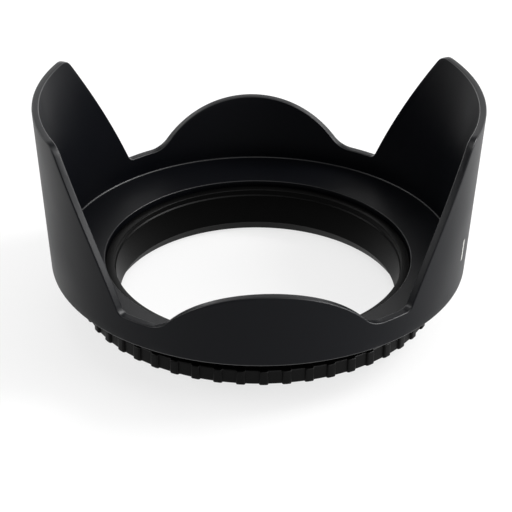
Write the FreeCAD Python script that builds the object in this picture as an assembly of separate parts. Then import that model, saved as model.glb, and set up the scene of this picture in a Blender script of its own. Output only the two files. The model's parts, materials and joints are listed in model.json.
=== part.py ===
import FreeCAD, Part
import math
import os

# Screw-in petal lens hood with a 58 mm filter thread.
#
# Four loose pieces share one upright axis. The mount ring drops into the hood shell from the
# front, and its flange rests in a counterbore in the shell's floor. Its threaded tube comes out
# at the rear, where the locking ring screws onto it and clamps the shell through a slip washer.
#
# Millimetres and degrees. +Z points out of the lens. The origin is on the axis, in the plane of
# the tube's rear end, on which the hood stands. The long petals lie on +X and -X, and the short
# ones on +Y and -Y.

# ---- mount ring ----
THREAD_RADIUS = 29.0          # tube's thread under the locking ring and the shell, at its crests
LENS_THREAD_EASE = 0.05       # the 58 mm lens thread at the rear is this much smaller in radius
THREAD_SHOWN = 2.95           # tube left bare behind the locking ring
THREAD_RUNOUT = 0.75          # one pitch, over which the lens thread grows into the tube's own
TUBE_END_WALL = 1.9           # tube wall at its rear end
TUBE_FRONT_WALL = 1.05        # tube wall below the bore's step
TUBE_END_CHAMFER = 0.45
BORE_STEP_DROP = 1.3          # from the flange's front face down to the step in the bore
BORE_STEP_WIDTH = 0.25
FLANGE_OVERHANG = 0.95        # flange beyond the thread's crests
FLANGE_THICKNESS = 1.0
FLANGE_CHAMFER = 0.2

# ---- fits between the pieces ----
TURNING_CLEARANCE = 0.05      # radial, shell on mount ring
THREAD_CLEARANCE = 0.05       # radial, locking ring on thread
WASHER_CLEARANCE = 0.3        # radial, washer on thread

# ---- locking ring ----
LOCK_HEIGHT = 3.0
LOCK_WALL = 5.9               # from the bore to the foot of the ribs
LOCK_BORE_CHAMFER = 0.5
RIB_COUNT = 52
RIB_WIDTH = 1.7
RIB_DEPTH = 0.45
RIB_CHAMFER = 0.2
RIB_ROOT = 0.6                # part of a rib that is buried in the ring
RIB_START = -0.56             # where the first rib stands when the ring is tight

# ---- slip washer ----
WASHER_THICKNESS = 0.3
WASHER_WIDTH = 2.7

# ---- hood shell: floor ----
LIP_THICKNESS = 2.05          # floor left under the flange
BOSS_WALL = 3.4               # from the shell's bore to the outside of its rear boss
FLANGE_RECESS = 1.2           # flange's front face below the funnel's inner edge
FUNNEL_RISE = 1.07            # the floor climbs this much towards the wall
FLOOR_THICKNESS = 1.1
FUNNEL_EDGE_CHAMFER = 0.2
WALL_FOOT_BEVEL = 0.5         # between floor and wall
BOSS_CHAMFER = 0.3

# ---- hood shell: wall and petals, with heights above the rim and angles from a petal's middle ----
RIM_RADIUS = 40.4
RIM_CHAMFER = 0.4
WALL = 1.35                   # at the long petals' tops
WALL_DRAFT = 0.3              # the wall is this much thicker at the rim
WALL_FLARE = 2.15             # the wall leans out by this much up to the long petals' tops
LONG_PETAL_HEIGHT = 33.55
LONG_PETAL_TOP_ANGLE = 26.65  # where the side would meet the top without its shoulder
LONG_PETAL_FOOT_ANGLE = 49.55  # where the side would meet the notch's bottom
LONG_PETAL_SIDE_RADIUS = 126.0
SHOULDER_RADIUS = 4.0
SHORT_PETAL_HEIGHT = 14.97
SHORT_PETAL_CROWN_RADIUS = 25.1
NOTCH_HEIGHT = 5.35
LONG_CORNER_RADIUS = 1.4      # in the notch, beside a long petal
SHORT_CORNER_RADIUS = 5.6     # in the notch, beside a short petal
PETAL_EDGE_CHAMFER = 0.35

# ---- heights of the stack, from the tube's rear end ----
LOCK_REAR = THREAD_SHOWN
LOCK_FRONT = LOCK_REAR + LOCK_HEIGHT
LIP_REAR = LOCK_FRONT + WASHER_THICKNESS
LIP_FRONT = LIP_REAR + LIP_THICKNESS
FLANGE_FRONT = LIP_FRONT + FLANGE_THICKNESS
FUNNEL_INNER = FLANGE_FRONT + FLANGE_RECESS
FUNNEL_OUTER = FUNNEL_INNER + FUNNEL_RISE
RIM = FUNNEL_OUTER - FLOOR_THICKNESS
LONG_TOP = RIM + LONG_PETAL_HEIGHT
SHORT_TOP = RIM + SHORT_PETAL_HEIGHT
NOTCH = RIM + NOTCH_HEIGHT

# ---- radii that follow from the fits ----
FLANGE_RADIUS = THREAD_RADIUS + FLANGE_OVERHANG
LIP_BORE = THREAD_RADIUS + TURNING_CLEARANCE
COUNTERBORE = FLANGE_RADIUS + TURNING_CLEARANCE
BOSS_RADIUS = LIP_BORE + BOSS_WALL

# ---- how the petals' outline is laid out flat and rolled up again ----
QUARTER = 90.0
ROLL_RADIUS = RIM_RADIUS      # the flat outline is drawn at this radius
BLANK_ABOVE = 3.0             # wall blank above the long petals, cut away
RIBBON_REACH = 8.0            # cutting ribbon beyond the wall on both sides
POINTS_PER_EDGE = 15
AXIS = FreeCAD.Vector(0, 0, 1)
ORIGIN = FreeCAD.Vector(0, 0, 0)


def at(radius, height):
    """A point of a turned piece's section."""
    return FreeCAD.Vector(radius, 0, height)


def line(start, end):
    return Part.LineSegment(start, end).toShape()


def turn(edges):
    """The solid of revolution of a closed section."""
    face = Part.Face(Part.Wire(edges))
    return face.revolve(ORIGIN, AXIS, 360)


def turn_corners(corners):
    """The solid of revolution of a section with straight sides, given as (radius, height)."""
    points = [at(*corner) for corner in corners]
    return turn([line(a, b) for a, b in zip(points, points[1:] + points[:1])])


def ring_edge(shape, radius, height):
    """The round edge of this radius at this height."""
    for edge in shape.Edges:
        round_edge = isinstance(edge.Curve, Part.Circle)
        if round_edge and abs(edge.Curve.Radius - radius) < 1e-4:
            if abs(edge.Curve.Center.z - height) < 1e-4:
                return edge
    raise ValueError("no round edge at radius %g, height %g" % (radius, height))


def chamfer_ring(shape, radius, height, chamfer):
    return shape.makeChamfer(chamfer, [ring_edge(shape, radius, height)])


# ---------------------------------------------------------------- mount ring

def mount_ring():
    """Threaded tube with a flange at its front, bored wider towards the front."""
    end_bore = THREAD_RADIUS - TUBE_END_WALL
    front_bore = THREAD_RADIUS - TUBE_FRONT_WALL
    flange_bore = front_bore + BORE_STEP_WIDTH
    step = FLANGE_FRONT - BORE_STEP_DROP
    lens_thread = THREAD_RADIUS - LENS_THREAD_EASE
    body = turn_corners([
        (end_bore, 0),
        (lens_thread, 0),
        (lens_thread, THREAD_SHOWN - THREAD_RUNOUT),
        (THREAD_RADIUS, THREAD_SHOWN),
        (THREAD_RADIUS, LIP_FRONT),
        (FLANGE_RADIUS, LIP_FRONT),
        (FLANGE_RADIUS, FLANGE_FRONT),
        (flange_bore, FLANGE_FRONT),
        (flange_bore, step + BORE_STEP_WIDTH),
        (front_bore, step),
    ])
    body = chamfer_ring(body, lens_thread, 0, TUBE_END_CHAMFER)
    body = chamfer_ring(body, flange_bore, FLANGE_FRONT, FLANGE_CHAMFER)
    return chamfer_ring(body, FLANGE_RADIUS, FLANGE_FRONT, FLANGE_CHAMFER)


# -------------------------------------------------------------- locking ring

def grip_rib(foot_radius):
    """One upright rib on +X, chamfered all round its outer face."""
    rib = Part.makeBox(
        RIB_ROOT + RIB_DEPTH, RIB_WIDTH, LOCK_HEIGHT,
        FreeCAD.Vector(foot_radius - RIB_ROOT, -RIB_WIDTH / 2, LOCK_REAR))
    outer_face = max(rib.Faces, key=lambda face: face.CenterOfMass.x)
    return rib.makeChamfer(RIB_CHAMFER, outer_face.Edges)


def locking_ring():
    """Ribbed nut that runs on the mount ring's thread."""
    bore = THREAD_RADIUS + THREAD_CLEARANCE
    foot_radius = bore + LOCK_WALL
    ring = turn_corners([
        (bore, LOCK_REAR),
        (foot_radius, LOCK_REAR),
        (foot_radius, LOCK_FRONT),
        (bore, LOCK_FRONT),
    ])
    for height in (LOCK_REAR, LOCK_FRONT):
        ring = chamfer_ring(ring, bore, height, LOCK_BORE_CHAMFER)
    ribs = []
    for index in range(RIB_COUNT):
        rib = grip_rib(foot_radius)
        rib.rotate(ORIGIN, AXIS, RIB_START + index * 360 / RIB_COUNT)
        ribs.append(rib)
    return ring.fuse(ribs).removeSplitter()


# --------------------------------------------------------------- slip washer

def slip_washer():
    """Thin flat washer between the locking ring and the shell's boss."""
    bore = THREAD_RADIUS + WASHER_CLEARANCE
    return turn_corners([
        (bore, LOCK_FRONT),
        (bore + WASHER_WIDTH, LOCK_FRONT),
        (bore + WASHER_WIDTH, LIP_REAR),
        (bore, LIP_REAR),
    ])


# ---------------------------------------------------------------- hood shell

def outer_radius(height):
    """Radius of the wall's outer face at a height."""
    return RIM_RADIUS + WALL_FLARE * (height - RIM) / LONG_PETAL_HEIGHT


def inner_radius(height):
    """Radius of the wall's inner face at a height."""
    to_climb = (LONG_TOP - height) / LONG_PETAL_HEIGHT
    return outer_radius(height) - WALL - WALL_DRAFT * to_climb


def shell_blank():
    """The shell before its petals are cut: bored floor, funnel and one tall wall."""
    blank_top = LONG_TOP + BLANK_ABOVE
    wall_foot = inner_radius(FUNNEL_OUTER)
    slope = FUNNEL_RISE / (wall_foot - COUNTERBORE)
    boss_top = FUNNEL_INNER - FLOOR_THICKNESS + slope * (BOSS_RADIUS - COUNTERBORE)
    blank = turn_corners([
        (wall_foot, FUNNEL_OUTER),
        (COUNTERBORE, FUNNEL_INNER),
        (COUNTERBORE, LIP_FRONT),
        (LIP_BORE, LIP_FRONT),
        (LIP_BORE, LIP_REAR),
        (BOSS_RADIUS, LIP_REAR),
        (BOSS_RADIUS, boss_top),
        (RIM_RADIUS, RIM),
        (outer_radius(blank_top), blank_top),
        (inner_radius(blank_top), blank_top),
    ])
    blank = chamfer_ring(blank, RIM_RADIUS, RIM, RIM_CHAMFER)
    blank = chamfer_ring(blank, wall_foot, FUNNEL_OUTER, WALL_FOOT_BEVEL)
    blank = chamfer_ring(blank, COUNTERBORE, FUNNEL_INNER, FUNNEL_EDGE_CHAMFER)
    return chamfer_ring(blank, BOSS_RADIUS, LIP_REAR, BOSS_CHAMFER)


def flat(along, height):
    """A point of the unrolled wall: distance round the wall, and height."""
    return FreeCAD.Vector(along, height, 0)


def angle_along(degrees):
    """Distance round the unrolled wall that covers an angle."""
    return math.radians(degrees) * ROLL_RADIUS


def circle_centre(start, end, radius):
    """Centre, to the left of the way from start to end, of the circle through both."""
    middle = (start + end) / 2
    across = end - start
    left = FreeCAD.Vector(-across.y, across.x, 0).normalize()
    return middle + left * math.sqrt(radius ** 2 - (across.Length / 2) ** 2)


def reach(centre, distance, height):
    """How far along, beyond a centre, a point at this height is at this distance from it."""
    return math.sqrt(distance ** 2 - (height - centre.y) ** 2)


def touching(centre, radius, other):
    """Where a circle is touched by a circle round another centre."""
    return centre + (other - centre).normalize() * radius


def arc(centre, radius, start, end):
    """The shorter arc round a centre from start to end."""
    middle = touching(centre, radius, (start + end) / 2)
    return Part.Arc(start, middle, end).toShape()


def petal_outline():
    """Unrolled edge of the petals, from a long petal's middle half way round to the next one."""
    short_middle = angle_along(QUARTER)
    foot = flat(angle_along(LONG_PETAL_FOOT_ANGLE), NOTCH)
    head = flat(angle_along(LONG_PETAL_TOP_ANGLE), LONG_TOP)
    side = circle_centre(foot, head, LONG_PETAL_SIDE_RADIUS)
    crown = flat(short_middle, SHORT_TOP - SHORT_PETAL_CROWN_RADIUS)

    shoulder_height = LONG_TOP - SHOULDER_RADIUS
    shoulder_gap = LONG_PETAL_SIDE_RADIUS - SHOULDER_RADIUS
    shoulder = flat(side.x + reach(side, shoulder_gap, shoulder_height), shoulder_height)
    long_height = NOTCH + LONG_CORNER_RADIUS
    long_gap = LONG_PETAL_SIDE_RADIUS + LONG_CORNER_RADIUS
    long_corner = flat(side.x + reach(side, long_gap, long_height), long_height)
    short_height = NOTCH + SHORT_CORNER_RADIUS
    short_gap = SHORT_PETAL_CROWN_RADIUS + SHORT_CORNER_RADIUS
    short_corner = flat(short_middle - reach(crown, short_gap, short_height), short_height)

    top_end = flat(shoulder.x, LONG_TOP)
    side_head = side + (shoulder - side).normalize() * LONG_PETAL_SIDE_RADIUS
    side_foot = touching(side, LONG_PETAL_SIDE_RADIUS, long_corner)
    floor_start = flat(long_corner.x, NOTCH)
    floor_end = flat(short_corner.x, NOTCH)
    crown_foot = touching(crown, SHORT_PETAL_CROWN_RADIUS, short_corner)
    crown_far_foot = flat(2 * short_middle - crown_foot.x, crown_foot.y)

    one_side = [
        arc(shoulder, SHOULDER_RADIUS, top_end, side_head),
        arc(side, LONG_PETAL_SIDE_RADIUS, side_head, side_foot),
        arc(long_corner, LONG_CORNER_RADIUS, side_foot, floor_start),
        line(floor_start, floor_end),
        arc(short_corner, SHORT_CORNER_RADIUS, floor_end, crown_foot),
    ]
    other_side = [edge.mirror(flat(short_middle, 0), flat(1, 0)) for edge in one_side]
    top = line(flat(-top_end.x, LONG_TOP), top_end)
    crown_top = Part.Arc(crown_foot, flat(short_middle, SHORT_TOP), crown_far_foot).toShape()
    return [top, crown_top] + one_side + other_side


def rolled(flat_edge, radius):
    """An edge of the unrolled wall laid on an upright cylinder."""
    ends = []
    for parameter in (flat_edge.FirstParameter, flat_edge.LastParameter):
        place = flat_edge.valueAt(parameter)
        way = flat_edge.tangentAt(parameter)
        turned = place.x / ROLL_RADIUS
        round_way = way.x * radius / ROLL_RADIUS
        ends.append(FreeCAD.Vector(-math.sin(turned) * round_way, math.cos(turned) * round_way, way.y))
    points = []
    for place in flat_edge.discretize(POINTS_PER_EDGE):
        turned = place.x / ROLL_RADIUS
        points.append(FreeCAD.Vector(radius * math.cos(turned), radius * math.sin(turned), place.y))
    curve = Part.BSplineCurve()
    curve.interpolate(Points=points, InitialTangent=ends[0], FinalTangent=ends[1])
    return curve.toShape()


def cutting_ribbon():
    """Surface through the wall along the petals' edge, level across the wall everywhere."""
    inside = RIM_RADIUS - RIBBON_REACH
    outside = RIM_RADIUS + RIBBON_REACH
    ribbon = []
    for flat_edge in petal_outline():
        strip = Part.makeRuledSurface(rolled(flat_edge, inside), rolled(flat_edge, outside))
        opposite = strip.copy()
        opposite.rotate(ORIGIN, AXIS, 2 * QUARTER)
        ribbon += [strip, opposite]
    return Part.Compound(ribbon)


def across_wall(face):
    """Whether a face of the shell is one that the ribbon left, from one wall side to the other."""
    middle = face.CenterOfMass
    outward = FreeCAD.Vector(middle.x, middle.y, 0)
    if outward.Length < LIP_BORE:
        return False
    normal = face.normalAt(*face.Surface.parameter(middle))
    return middle.z > FUNNEL_OUTER and abs(normal.dot(outward)) < outward.Length / 2


def petal_edges(shell):
    """The two lines along the petals' edge, outside and inside."""
    candidates = []
    for face in shell.Faces:
        if across_wall(face):
            candidates += face.Edges
    return [edge for edge in candidates
            if sum(edge.isSame(other) for other in candidates) == 1]


def hood_shell():
    """One-piece shell: bored floor, funnel, flared wall, two long and two short petals."""
    parts = shell_blank().generalFuse([cutting_ribbon()])[0].Solids
    shell = min(parts, key=lambda part: part.CenterOfMass.z)
    return shell.makeChamfer(PETAL_EDGE_CHAMFER, petal_edges(shell))


# --------------------------------------------------------------------- export

PIECES = {
    "mount_ring": mount_ring,
    "hood_shell": hood_shell,
    "slip_washer": slip_washer,
    "locking_ring": locking_ring,
}

os.makedirs("parts", exist_ok=True)
for name, make in PIECES.items():
    shape = make()
    box = shape.optimalBoundingBox(False, False)
    print("%-14s valid %s  solids %d  volume %.0f mm3  box %.2f x %.2f x %.2f" % (
        name, shape.isValid(), len(shape.Solids), shape.Volume,
        box.XLength, box.YLength, box.ZLength))
    shape.exportStep("parts/%s.step" % name)
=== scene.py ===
"""A moulded petal lens hood standing on its mount ring on a white table.

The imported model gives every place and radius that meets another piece. This script makes the
visible pieces of the hood with rounded edges, a cut thread and moulded grip ribs, and gives each
one its plastic.
"""
import json
import math

import bpy
from mathutils import Matrix, Vector


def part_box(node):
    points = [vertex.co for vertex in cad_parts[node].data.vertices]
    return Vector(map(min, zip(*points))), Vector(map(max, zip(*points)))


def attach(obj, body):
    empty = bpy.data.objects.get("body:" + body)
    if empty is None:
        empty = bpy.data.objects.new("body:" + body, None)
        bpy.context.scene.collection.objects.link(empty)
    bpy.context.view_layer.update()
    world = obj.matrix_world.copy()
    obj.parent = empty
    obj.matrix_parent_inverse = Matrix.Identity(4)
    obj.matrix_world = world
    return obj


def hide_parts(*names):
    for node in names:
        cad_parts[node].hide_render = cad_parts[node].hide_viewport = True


MM = 0.001

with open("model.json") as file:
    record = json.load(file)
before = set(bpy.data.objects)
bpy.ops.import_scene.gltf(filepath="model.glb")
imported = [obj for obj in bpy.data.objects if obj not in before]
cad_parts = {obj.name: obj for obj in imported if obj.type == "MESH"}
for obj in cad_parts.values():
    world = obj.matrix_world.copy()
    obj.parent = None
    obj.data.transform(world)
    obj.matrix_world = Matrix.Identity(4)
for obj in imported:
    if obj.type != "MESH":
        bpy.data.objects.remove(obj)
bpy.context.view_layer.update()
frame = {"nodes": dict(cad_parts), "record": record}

# ---- places and radii from the frame, in millimetres ----


def size(node):
    """Lowest and highest height, and outer radius on Y, of a node, in millimetres."""
    low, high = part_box(node)
    return low.z / MM, high.z / MM, high.y / MM


TUBE_REAR, FLANGE_FRONT, FLANGE_RADIUS = size("mount_ring")
LIP_REAR, LONG_TOP, _ = size("hood_shell")
LOCK_REAR, LOCK_FRONT, _ = size("locking_ring")
TOP_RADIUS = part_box("hood_shell")[1].x / MM
LENS_THREAD_RADIUS = frame["record"]["mounts"][0]["dims"]["r_mm"]

# ---- the shell's own sizes, in millimetres and degrees, as on its drawing ----
THREAD_RADIUS = LENS_THREAD_RADIUS + 0.05
TURNING_CLEARANCE = 0.05
LIP_THICKNESS = 2.05
FLANGE_RECESS = 1.2
FUNNEL_RISE = 1.07
FLOOR_THICKNESS = 1.1
BOSS_WALL = 3.4
RIM_RADIUS = 40.4
WALL = 1.35
WALL_DRAFT = 0.3
NOTCH_HEIGHT = 5.35
SHORT_PETAL_HEIGHT = 14.97
SHORT_PETAL_CROWN_RADIUS = 25.1
LONG_PETAL_TOP_ANGLE = 26.65
LONG_PETAL_FOOT_ANGLE = 49.55
LONG_PETAL_SIDE_RADIUS = 126.0
SHOULDER_RADIUS = 4.0
LONG_CORNER_RADIUS = 1.4
SHORT_CORNER_RADIUS = 5.6

LIP_FRONT = LIP_REAR + LIP_THICKNESS
FUNNEL_INNER = FLANGE_FRONT + FLANGE_RECESS
FUNNEL_OUTER = FUNNEL_INNER + FUNNEL_RISE
RIM = FUNNEL_OUTER - FLOOR_THICKNESS
NOTCH = RIM + NOTCH_HEIGHT
SHORT_TOP = RIM + SHORT_PETAL_HEIGHT
LIP_BORE = THREAD_RADIUS + TURNING_CLEARANCE
COUNTERBORE = FLANGE_RADIUS + TURNING_CLEARANCE
BOSS_RADIUS = LIP_BORE + BOSS_WALL

# ---- thread and grip ribs ----
THREAD_PITCH = 0.75
THREAD_DEPTH = 0.46
TUBE_END_BORE = 27.1
TUBE_FRONT_BORE = 27.95
BORE_STEP_DROP = 1.3
BORE_STEP_WIDTH = 0.25
RIB_COUNT = 52
RIB_WIDTH = 1.7
RIB_DEPTH = 0.45
RIB_START = -0.56
LOCK_FOOT_RADIUS = 34.95


# ------------------------------------------------------------------ meshes

def mesh_piece(name, points, faces, body, material):
    """A smooth mesh piece from points in millimetres, riding on a body."""
    mesh = bpy.data.meshes.new(name)
    mesh.from_pydata([Vector(p) * MM for p in points], [], faces)
    mesh.polygons.foreach_set("use_smooth", [True] * len(mesh.polygons))
    mesh.materials.append(material)
    piece = bpy.data.objects.new(name, mesh)
    bpy.context.scene.collection.objects.link(piece)
    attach(piece, body)
    return piece


def ring_faces(columns, rows):
    """Quads of a closed loop of section points carried once round the axis."""
    faces = []
    for column in range(columns):
        beside = (column + 1) % columns
        for row in range(rows):
            above = (row + 1) % rows
            faces.append((
                column * rows + row,
                beside * rows + row,
                beside * rows + above,
                column * rows + above,
            ))
    return faces


def keep_flats_flat(piece):
    """Shades large faces level right up to their small rounded edges."""
    facing_gloss_with_painted_shade = piece.modifiers.new("level_flats", "WEIGHTED_NORMAL")
    facing_gloss_with_painted_shade.mode = "FACE_AREA"
    facing_gloss_with_painted_shade.weight = 90
    facing_gloss_with_painted_shade.keep_sharp = True


def spaced(start, end, count):
    """Evenly spaced values from start up to, but without, end."""
    return [start + (end - start) * step / count for step in range(count)]


def rounded_section(corners, steps=4):
    """Points of a closed section, given as (radius, height, rounding) corners.

    Each corner becomes an arc that touches both its sides.
    """
    section = []
    total = len(corners)
    for index, (radius, height, rounding) in enumerate(corners):
        corner = Vector((radius, height))
        before = Vector(corners[index - 1][:2])
        after = Vector(corners[(index + 1) % total][:2])
        if rounding == 0:
            section.append(corner)
            continue
        back = (before - corner).normalized()
        on = (after - corner).normalized()
        half = math.acos(max(-1.0, min(1.0, back.dot(on)))) / 2
        reach = rounding / math.tan(half)
        centre = corner + (back + on).normalized() * (rounding / math.sin(half))
        start = corner + back * reach - centre
        sweep = start.angle_signed(corner + on * reach - centre)
        for step in range(steps + 1):
            turned = Matrix.Rotation(-sweep * step / steps, 2) @ start
            section.append(centre + turned)
    return section


# ----------------------------------------------------------------- colours

def srgb(code):
    """A hex colour turned to linear light."""
    channels = []
    for place in (1, 3, 5):
        value = int(code[place:place + 2], 16) / 255
        channels.append(value / 12.92 if value <= 0.04045 else ((value + 0.055) / 1.055) ** 2.4)
    return (*channels, 1.0)


def add_node(tree, kind, settings=None, inputs=None):
    """Adds a node, sets its properties, and sets or links its inputs."""
    node = tree.nodes.new(kind)
    for key, value in (settings or {}).items():
        setattr(node, key, value)
    for key, value in (inputs or {}).items():
        if isinstance(value, bpy.types.NodeSocket):
            tree.links.new(value, node.inputs[key])
        else:
            node.inputs[key].default_value = value
    return node


def new_material(name):
    """An empty Principled material: its tree and its shader."""
    material = bpy.data.materials.new(name)
    material.use_nodes = True
    tree = material.node_tree
    return material, tree, tree.nodes["Principled BSDF"]


def share_facing_out(tree):
    """Nought on faces that look at the hood's axis, and one on those that look away from it."""
    place = add_node(tree, "ShaderNodeTexCoord")
    sideways = add_node(tree, "ShaderNodeVectorMath", {"operation": "MULTIPLY"}, {
        0: place.outputs["Object"], 1: (1.0, 1.0, 0.0)})
    outward = add_node(tree, "ShaderNodeVectorMath", {"operation": "NORMALIZE"}, {
        0: sideways.outputs["Vector"]})
    facing = add_node(tree, "ShaderNodeVectorMath", {"operation": "DOT_PRODUCT"}, {
        0: outward.outputs["Vector"], 1: place.outputs["Normal"]})
    return add_node(tree, "ShaderNodeMapRange", inputs={
        "Value": facing.outputs["Value"], "From Min": -0.6, "From Max": 0.2}).outputs["Result"]


def share_sloping(tree):
    """One on faces halfway between level and upright, and nought on level and upright ones."""
    normal = add_node(tree, "ShaderNodeTexCoord").outputs["Normal"]
    height = add_node(tree, "ShaderNodeSeparateXYZ", inputs={"Vector": normal}).outputs["Z"]
    square = add_node(tree, "ShaderNodeMath", {"operation": "MULTIPLY"}, {0: height, 1: height})
    rest = add_node(tree, "ShaderNodeMath", {"operation": "SUBTRACT"}, {
        0: 1.0, 1: square.outputs["Value"]})
    product = add_node(tree, "ShaderNodeMath", {"operation": "MULTIPLY"}, {
        0: square.outputs["Value"], 1: rest.outputs["Value"]})
    return add_node(tree, "ShaderNodeMapRange", inputs={
        "Value": product.outputs["Value"], "From Min": 0.1, "From Max": 0.25}).outputs["Result"]


def moulded_abs(name, colour, worn, grain_mm, grain_depth_mm, roughness, gloss, inside_gloss_with_painted_shade,
                painted_edge_highlight_gloss):
    """Black ABS from a spark-eroded mould: an even fine grain that breaks up reflections.

    The grain is what the eye reads as matt. The faces that look inwards are left duller: partly a
    matt inside finish, which keeps stray light out of the lens, and partly painted shade that
    darkens the hood's inside. Faces halfway between level and upright, mostly the rounded edges
    and corners, get more gloss: a painted highlight that makes them catch a thin line of light.
    Slow changes of roughness are handling marks.
    """
    material, tree, shader = new_material(name)
    place = add_node(tree, "ShaderNodeTexCoord").outputs["Object"]
    grain = add_node(tree, "ShaderNodeTexNoise", inputs={
        "Vector": place, "Scale": 1 / (grain_mm * MM), "Detail": 3.0, "Roughness": 0.6})
    patches = add_node(tree, "ShaderNodeTexNoise", inputs={
        "Vector": place, "Scale": 1 / (18 * MM), "Detail": 2.0})
    tint = add_node(tree, "ShaderNodeMix", {"data_type": "RGBA"}, {
        "Factor": patches.outputs["Fac"], "A": srgb(colour), "B": srgb(worn)})
    polish = add_node(tree, "ShaderNodeMapRange", inputs={
        "Value": patches.outputs["Fac"], "From Min": 0.3, "From Max": 0.7,
        "To Min": roughness - 0.04, "To Max": roughness + 0.04})
    # Partly a matt inside finish and partly painted shade: faces that look at the axis get less
    # gloss, which darkens the hood's inside.
    facing_gloss_with_painted_shade = add_node(tree, "ShaderNodeMapRange", inputs={
        "Value": share_facing_out(tree), "To Min": inside_gloss_with_painted_shade, "To Max": gloss})
    # Painted highlight: sloping faces, mostly the rounded edges and corners, get more gloss so they
    # show a thin line of light.
    gloss_with_painted_edge_highlight = add_node(tree, "ShaderNodeMapRange", inputs={
        "Value": share_sloping(tree), "To Min": facing_gloss_with_painted_shade.outputs["Result"], "To Max": painted_edge_highlight_gloss})
    bump = add_node(tree, "ShaderNodeBump", inputs={
        "Height": grain.outputs["Fac"], "Strength": 1.0, "Distance": grain_depth_mm * MM})
    tree.links.new(tint.outputs["Result"], shader.inputs["Base Color"])
    tree.links.new(polish.outputs["Result"], shader.inputs["Roughness"])
    tree.links.new(gloss_with_painted_edge_highlight.outputs["Result"], shader.inputs["Specular IOR Level"])
    tree.links.new(bump.outputs["Normal"], shader.inputs["Normal"])
    shader.inputs["IOR"].default_value = 1.5
    return material


def printed_ink():
    """White pad-printing ink: a thin opaque film with a dry, even surface."""
    material, tree, shader = new_material("white_pad_print_ink")
    place = add_node(tree, "ShaderNodeTexCoord").outputs["Object"]
    cover = add_node(tree, "ShaderNodeTexNoise", inputs={
        "Vector": place, "Scale": 1 / (0.35 * MM), "Detail": 2.0})
    tint = add_node(tree, "ShaderNodeMix", {"data_type": "RGBA"}, {
        "Factor": cover.outputs["Fac"], "A": srgb("#8a8a86"), "B": srgb("#a8a8a4")})
    tree.links.new(tint.outputs["Result"], shader.inputs["Base Color"])
    shader.inputs["Roughness"].default_value = 0.55
    return material


# -------------------------------------------------------------- hood shell

def climbed(height):
    """Share of the way from the rim up to the long petals' tops."""
    return (height - RIM) / (LONG_TOP - RIM)


def outer_radius(height):
    """Radius of the wall's outer face, which leans out all the way up."""
    return RIM_RADIUS + (TOP_RADIUS - RIM_RADIUS) * climbed(height)


def thickness(height):
    """Thickness of the wall, which tapers upwards so that it left its mould."""
    return WALL + WALL_DRAFT * (1 - climbed(height))


def arc_points(centre, radius, start_angle, end_angle, spacing):
    """Points along an arc with the way into the plastic, without the last one."""
    count = max(3, math.ceil(abs(end_angle - start_angle) * abs(radius) / spacing))
    points = []
    for angle in spaced(start_angle, end_angle, count):
        outward = Vector((math.cos(angle), math.sin(angle)))
        inward = -outward if radius > 0 else outward
        points.append((centre + outward * abs(radius), inward))
    return points


def line_points(start, end, spacing):
    """Points along a level stretch, with the way into the plastic, without the last one."""
    count = max(2, math.ceil((end - start).length / spacing))
    return [(start.lerp(end, step / count), Vector((0, -1))) for step in range(count)]


def angle_of(centre, point):
    away = point - centre
    return math.atan2(away.y, away.x)


def petal_quarter():
    """The unrolled petal edge from a long petal's middle to the next short petal's middle."""
    spacing = 0.5
    quarter = math.pi / 2 * RIM_RADIUS
    foot = Vector((math.radians(LONG_PETAL_FOOT_ANGLE) * RIM_RADIUS, NOTCH))
    head = Vector((math.radians(LONG_PETAL_TOP_ANGLE) * RIM_RADIUS, LONG_TOP))
    across = head - foot
    left = Vector((-across.y, across.x)).normalized()
    rise = math.sqrt(LONG_PETAL_SIDE_RADIUS ** 2 - (across.length / 2) ** 2)
    side = (foot + head) / 2 + left * rise
    crown = Vector((quarter, SHORT_TOP - SHORT_PETAL_CROWN_RADIUS))

    def level_with(centre, distance, height, way):
        reach = math.sqrt(distance ** 2 - (height - centre.y) ** 2)
        return Vector((centre.x + way * reach, height))

    shoulder = level_with(
        side, LONG_PETAL_SIDE_RADIUS - SHOULDER_RADIUS, LONG_TOP - SHOULDER_RADIUS, 1)
    long_corner = level_with(
        side, LONG_PETAL_SIDE_RADIUS + LONG_CORNER_RADIUS, NOTCH + LONG_CORNER_RADIUS, 1)
    short_corner = level_with(
        crown, SHORT_PETAL_CROWN_RADIUS + SHORT_CORNER_RADIUS, NOTCH + SHORT_CORNER_RADIUS, -1)

    side_head = angle_of(side, shoulder)
    side_foot = angle_of(side, long_corner)
    crown_foot = angle_of(crown, short_corner)
    below = -math.pi / 2
    edge = line_points(Vector((0, LONG_TOP)), Vector((shoulder.x, LONG_TOP)), spacing)
    edge += arc_points(shoulder, SHOULDER_RADIUS, math.pi / 2, side_head, spacing)
    edge += arc_points(side, LONG_PETAL_SIDE_RADIUS, side_head, side_foot, spacing)
    edge += arc_points(
        long_corner, -LONG_CORNER_RADIUS, side_foot - math.pi, below, spacing / 2)
    edge += line_points(
        Vector((long_corner.x, NOTCH)), Vector((short_corner.x, NOTCH)), spacing)
    edge += arc_points(
        short_corner, -SHORT_CORNER_RADIUS, below, crown_foot - math.pi, spacing / 2)
    edge += arc_points(crown, SHORT_PETAL_CROWN_RADIUS, crown_foot, math.pi / 2, spacing)
    return edge, quarter


def petal_edge():
    """The unrolled petal edge all the way round, as (place, way into the plastic)."""
    edge, quarter = petal_quarter()
    top_of_crown = (Vector((quarter, SHORT_TOP)), Vector((0, -1)))
    back = [(Vector((2 * quarter - p.x, p.y)), Vector((-n.x, n.y))) for p, n in edge[1:]]
    half = edge + [top_of_crown] + back[::-1]
    far = [(p + Vector((2 * quarter, 0)), n) for p, n in half]
    return half + far


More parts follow.
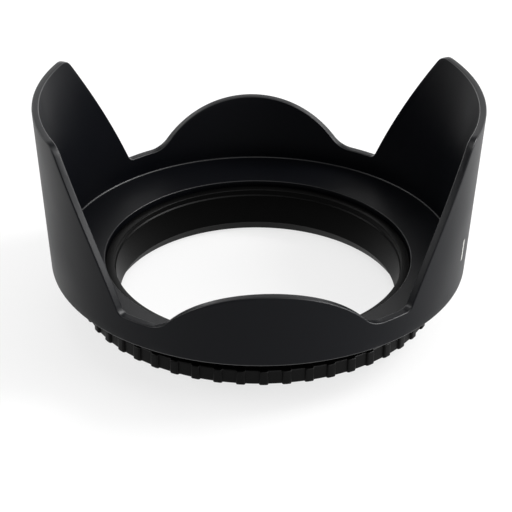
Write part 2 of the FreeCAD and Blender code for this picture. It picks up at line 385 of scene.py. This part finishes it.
def hood_shell(material):
    """One-piece shell: bored floor, funnel, and the wall with its rounded petal edges."""
    edge_round = 0.24
    round_steps = 4
    wall_rows = 26
    foot_round = 0.4
    wall_foot = outer_radius(FUNNEL_OUTER) - thickness(FUNNEL_OUTER)
    slope = FUNNEL_RISE / (wall_foot - COUNTERBORE)
    boss_top = FUNNEL_INNER - FLOOR_THICKNESS + slope * (BOSS_RADIUS - COUNTERBORE)
    rim_round = 0.5
    seat_round = 0.1
    wall_start = 2
    inner_start = FUNNEL_OUTER + wall_start
    outer_start = RIM + wall_start
    floor = rounded_section([
        (outer_radius(inner_start) - thickness(inner_start), inner_start, 0),
        (wall_foot, FUNNEL_OUTER, foot_round),
        (COUNTERBORE, FUNNEL_INNER, 0.25),
        (COUNTERBORE, LIP_FRONT, seat_round),
        (LIP_BORE, LIP_FRONT, seat_round),
        (LIP_BORE, LIP_REAR, seat_round),
        (BOSS_RADIUS, LIP_REAR, 0.3),
        (BOSS_RADIUS, boss_top, 0.4),
        (RIM_RADIUS, RIM, rim_round),
        (outer_radius(outer_start), outer_start, 0),
    ])
    outer_foot = floor[-1].y
    inner_foot = floor[0].y
    points = []
    edge = petal_edge()
    for place, inward in edge:
        across_wall = []
        held = place + inward * edge_round
        for step in range(1, wall_rows):
            share = step / wall_rows
            across_wall.append((held.x, outer_foot + (held.y - outer_foot) * share, 0.0))
        for step in range(round_steps + 1):
            angle = math.pi / 2 * step / round_steps
            sunk = place + inward * edge_round * (1 - math.sin(angle))
            across_wall.append((sunk.x, sunk.y, edge_round * (1 - math.cos(angle))))
        for step in range(round_steps, -1, -1):
            angle = math.pi / 2 * step / round_steps
            sunk = place + inward * edge_round * (1 - math.sin(angle))
            inside = thickness(sunk.y) - edge_round * (1 - math.cos(angle))
            across_wall.append((sunk.x, sunk.y, inside))
        for step in range(wall_rows - 1, 0, -1):
            height = inner_foot + (held.y - inner_foot) * step / wall_rows
            across_wall.append((held.x, height, thickness(height)))
        for along, height, depth in across_wall:
            turn = along / RIM_RADIUS
            radius = outer_radius(height) - depth
            points.append((radius * math.cos(turn), radius * math.sin(turn), height))
        turn = held.x / RIM_RADIUS
        points += [(p.x * math.cos(turn), p.x * math.sin(turn), p.y) for p in floor]
    columns = len(edge)
    rows = len(points) // columns
    shell = mesh_piece(
        "petal_shell", points, ring_faces(columns, rows), "hood", material)
    keep_flats_flat(shell)
    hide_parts("hood_shell")
    return shell


# -------------------------------------------------------------- mount ring

def threaded_tube(material):
    """Flanged tube with a cut thread outside and a stepped, tapering bore."""
    columns = 288
    steps_per_turn = 10
    end_chamfer = 0.45
    root = THREAD_RADIUS - THREAD_DEPTH
    thread_rows = round((LIP_REAR - TUBE_REAR) / THREAD_PITCH * steps_per_turn)
    flank_steepness = 2.3
    root_share = 0.3
    plain_run = 0.05
    step_height = FLANGE_FRONT - BORE_STEP_DROP
    step_radius = TUBE_FRONT_BORE + BORE_STEP_WIDTH
    flange = rounded_section([
        (THREAD_RADIUS, LIP_REAR + plain_run, 0),
        (THREAD_RADIUS, LIP_FRONT, 0.1),
        (FLANGE_RADIUS, LIP_FRONT, 0.1),
        (FLANGE_RADIUS, FLANGE_FRONT, 0.2),
        (step_radius, FLANGE_FRONT, 0.2),
        (step_radius, step_height + BORE_STEP_WIDTH, 0.05),
        (TUBE_FRONT_BORE, step_height, 0.1),
        (TUBE_END_BORE, TUBE_REAR, 0.2),
    ])
    points = []
    for turn in spaced(0, 2 * math.pi, columns):
        column = []
        for row in range(thread_rows):
            height = TUBE_REAR + (LIP_REAR - TUBE_REAR) * row / thread_rows
            phase = (height / THREAD_PITCH - turn / (2 * math.pi)) % 1.0
            climb = flank_steepness * (1 - abs(2 * phase - 1)) - root_share
            crest = max(0.0, min(1.0, climb))
            lead = max(0.0, end_chamfer - (height - TUBE_REAR))
            radius = min(root + THREAD_DEPTH * crest, THREAD_RADIUS - lead)
            column.append(Vector((radius, height)))
        for p in column + flange:
            points.append((p.x * math.cos(turn), p.x * math.sin(turn), p.y))
    rows = thread_rows + len(flange)
    tube = mesh_piece(
        "threaded_mount_tube", points, ring_faces(columns, rows), "mount", material)
    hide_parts("mount_ring")
    return tube


# ------------------------------------------------------------ locking ring

def rib_outline():
    """Radius of the locking ring's grip against the angle, for one rib and the gap after it.

    Gives (angle, radius) pairs with rounded rib corners and a small fillet at each foot.
    """
    crest = LOCK_FOOT_RADIUS + RIB_DEPTH
    corner = 0.34
    foot = 0.08
    half = RIB_WIDTH / 2
    outline = []
    for step in range(4):
        angle = math.pi / 2 * step / 3
        outline.append((half + foot * (1 - math.sin(angle)),
                        LOCK_FOOT_RADIUS + foot * (1 - math.cos(angle))))
    for step in range(4):
        angle = math.pi / 2 * step / 3
        outline.append((half - corner * (1 - math.cos(angle)),
                        crest - corner * (1 - math.sin(angle))))
    after = [(across, radius) for across, radius in outline][::-1]
    before = [(-across, radius) for across, radius in outline]
    return [(across / LOCK_FOOT_RADIUS, radius) for across, radius in before + [(0, crest)] + after]


def ribbed_ring(material):
    """Locking ring with upright grip ribs, rounded at their corners and ends."""
    bore = THREAD_RADIUS + TURNING_CLEARANCE
    end_round = 0.3
    bore_round = 0.35
    between_ribs = (0.38, 0.5, 0.62)
    pitch = 2 * math.pi / RIB_COUNT
    columns = []
    for rib in range(RIB_COUNT):
        middle = math.radians(RIB_START) + rib * pitch
        columns += [(middle + angle, radius) for angle, radius in rib_outline()]
        columns += [(middle + pitch * share, LOCK_FOOT_RADIUS) for share in between_ribs]
    points = []
    for turn, radius in columns:
        section = rounded_section([
            (bore, LOCK_REAR, bore_round),
            (radius, LOCK_REAR, end_round),
            (radius, LOCK_FRONT, end_round),
            (bore, LOCK_FRONT, bore_round),
        ])
        points += [(p.x * math.cos(turn), p.x * math.sin(turn), p.y) for p in section]
    rows = len(points) // len(columns)
    ring = mesh_piece(
        "ribbed_locking_ring", points, ring_faces(len(columns), rows), "lock", material)
    keep_flats_flat(ring)
    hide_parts("locking_ring")
    return ring


# ------------------------------------------------------------------ finish

def paint_node(node, material):
    """Gives a node of the frame its finish."""
    mesh = frame["nodes"][node].data
    mesh.materials.clear()
    mesh.materials.append(material)


def index_mark(material):
    """A plain printed dash on the outside of the long petal on +X, for lining up the hood."""
    film = 0.03
    middle_turn = -23.0
    low, high = 17.5, 22.0
    width = 0.9
    rows = 12
    half_turn = width / 2 / RIM_RADIUS
    points = []
    for row in range(rows + 1):
        height = low + (high - low) * row / rows
        for side in (-1, -0.33, 0.33, 1):
            turn = math.radians(middle_turn) + side * half_turn
            radius = outer_radius(height) + film
            points.append((radius * math.cos(turn), radius * math.sin(turn), height))
    faces = []
    for row in range(rows):
        for side in range(3):
            first = row * 4 + side
            faces.append((first, first + 1, first + 5, first + 4))
    return mesh_piece("printed_index_dash", points, faces, "hood", material)


# ---------------------------------------------------- table, light, camera

def table_and_backdrop():
    """One white sweep: a level table that curves up behind the hood."""
    half_width = 2.0
    front = -1.5
    bend_start = 1.2
    bend_radius = 0.6
    path = [(front, 0.0), (0.0, 0.0), (bend_start, 0.0)]
    for step in range(1, 13):
        angle = math.pi / 2 * step / 12
        path.append((bend_start + bend_radius * math.sin(angle),
                     bend_radius * (1 - math.cos(angle))))
    path.append((bend_start + bend_radius, 3.0))
    points = []
    for y, z in path:
        points += [(-half_width / MM, y / MM, z / MM), (half_width / MM, y / MM, z / MM)]
    faces = [(2 * i, 2 * i + 1, 2 * i + 3, 2 * i + 2) for i in range(len(path) - 1)]
    mesh = bpy.data.meshes.new("white_sweep")
    mesh.from_pydata([Vector(p) * MM for p in points], [], faces)
    mesh.polygons.foreach_set("use_smooth", [True] * len(mesh.polygons))
    sweep = bpy.data.objects.new("white_sweep", mesh)
    bpy.context.scene.collection.objects.link(sweep)
    material, tree, shader = new_material("opal_acrylic_lit_from_below")
    shader.inputs["Base Color"].default_value = srgb("#8a8a8a")
    shader.inputs["Roughness"].default_value = 0.9
    shader.inputs["Specular IOR Level"].default_value = 0.0
    shader.inputs["Emission Color"].default_value = srgb("#ffffff")
    shader.inputs["Emission Strength"].default_value = 0.74
    mesh.materials.append(material)


def area_light(name, place, aim, width, height, watts):
    """A white soft box at a place in metres, facing a point."""
    light = bpy.data.lights.new(name, "AREA")
    light.shape = "RECTANGLE"
    light.size = width
    light.size_y = height
    light.energy = watts
    lamp = bpy.data.objects.new(name, light)
    lamp.location = place
    lamp.rotation_euler = (Vector(aim) - Vector(place)).to_track_quat("-Z", "Y").to_euler()
    bpy.context.scene.collection.objects.link(lamp)


def studio():
    """A white tent: a broad panel overhead, a small box high on the right, and cards all round."""
    world = bpy.data.worlds.new("dim_room")
    world.use_nodes = True
    background = world.node_tree.nodes["Background"]
    background.inputs["Color"].default_value = srgb("#ffffff")
    background.inputs["Strength"].default_value = 0.06
    bpy.context.scene.world = world
    centre = (0, 0, 0.02)
    area_light("overhead_panel", (0.2, 0.0, 0.85), centre, 1.1, 1.1, 5.0)
    area_light("back_card", (0, 1.1, 0.35), centre, 2.0, 0.7, 7.0)
    area_light("right_card", (0.9, -0.05, 0.22), centre, 0.8, 0.4, 8.0)
    area_light("left_card", (-0.9, 0.0, 0.42), centre, 0.7, 0.4, 3.5)
    area_light("front_card", (0.45, -0.9, 0.12), centre, 0.9, 0.2, 5.0)
    area_light("right_box", (0.6, 0.1, 0.6), centre, 0.3, 0.3, 4.5)


def camera():
    """Long lens looking down at the hood from the front."""
    distance = 0.35889
    azimuth = math.radians(-2.549)
    elevation = math.radians(30.344)
    aim = Vector((-0.00037, 0, 0.00967))
    away = Vector((
        math.sin(azimuth) * math.cos(elevation),
        -math.cos(azimuth) * math.cos(elevation),
        math.sin(elevation)))
    lens = bpy.data.cameras.new("long_lens")
    lens.lens = 127.94
    lens.sensor_width = 36
    lens.clip_start = 0.01
    viewer = bpy.data.objects.new("long_lens", lens)
    viewer.location = aim + away * distance
    level = (-away).to_track_quat("-Z", "Y")
    roll = Matrix.Rotation(math.radians(0.419), 4, "Z")
    viewer.matrix_world = Matrix.Translation(viewer.location) @ level.to_matrix().to_4x4() @ roll
    bpy.context.scene.collection.objects.link(viewer)
    bpy.context.scene.camera = viewer


# Each finish ends with three glosses: its outward gloss, its inward gloss (a matt inside finish
# with painted shade), and the gloss of its painted edge highlight.
shell_abs = moulded_abs(
    "black_abs_fine_grain", "#06070a", "#090a0e", 0.35, 0.01, 0.4, 0.09, 0.05, 0.5)
tube_abs = moulded_abs("black_abs_tube", "#040404", "#060606", 0.3, 0.006, 0.4, 0.08, 0.03, 0.15)
ring_abs = moulded_abs("black_abs_ring", "#040404", "#070707", 0.3, 0.01, 0.4, 0.08, 0.08, 0.3)
washer_sheet = moulded_abs(
    "black_sheet_washer", "#0c0c0c", "#101010", 0.5, 0.005, 0.45, 0.3, 0.3, 0.3)

hood_shell(shell_abs)
threaded_tube(tube_abs)
ribbed_ring(ring_abs)
paint_node("slip_washer", washer_sheet)
index_mark(printed_ink())

table_and_backdrop()
studio()
camera()

bpy.context.scene.view_settings.view_transform = "Standard"
